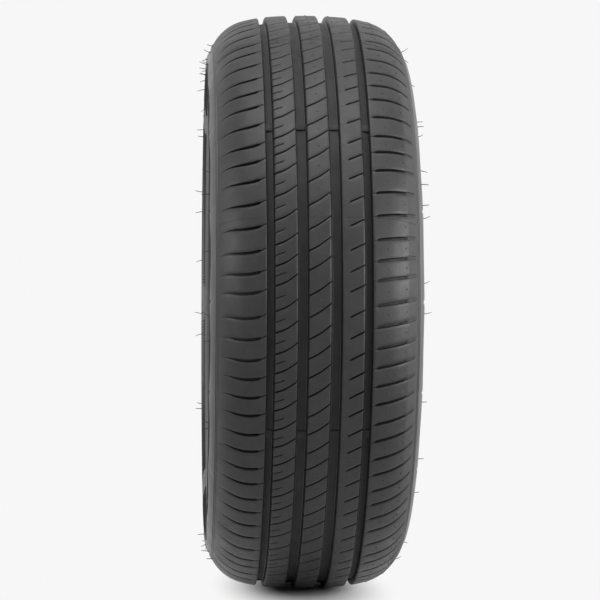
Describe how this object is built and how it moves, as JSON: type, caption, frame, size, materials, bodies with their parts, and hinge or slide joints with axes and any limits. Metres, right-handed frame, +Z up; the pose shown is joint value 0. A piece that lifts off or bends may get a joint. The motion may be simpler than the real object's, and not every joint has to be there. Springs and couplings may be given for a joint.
{
  "type": "car tyre",
  "caption": "Unmounted passenger car tyre with a ribbed and slotted road tread, unmarked sidewalls and a pair of bead seats that grip a wheel rim.",
  "frame": {"origin": "wheel centre: on the spin axis, midway between the two beads", "axes": "+Y along the spin axis, towards the side with slanted shoulder slots; +Z up; +X towards the viewer of the tread"},
  "size_m": [0.643, 0.218, 0.643],
  "materials": {
    "tyre": "moulded black rubber, matt with a faint sheen"
  },
  "bodies": {
    "root": {"tyre": "tyre"}
  },
  "joints": []
}
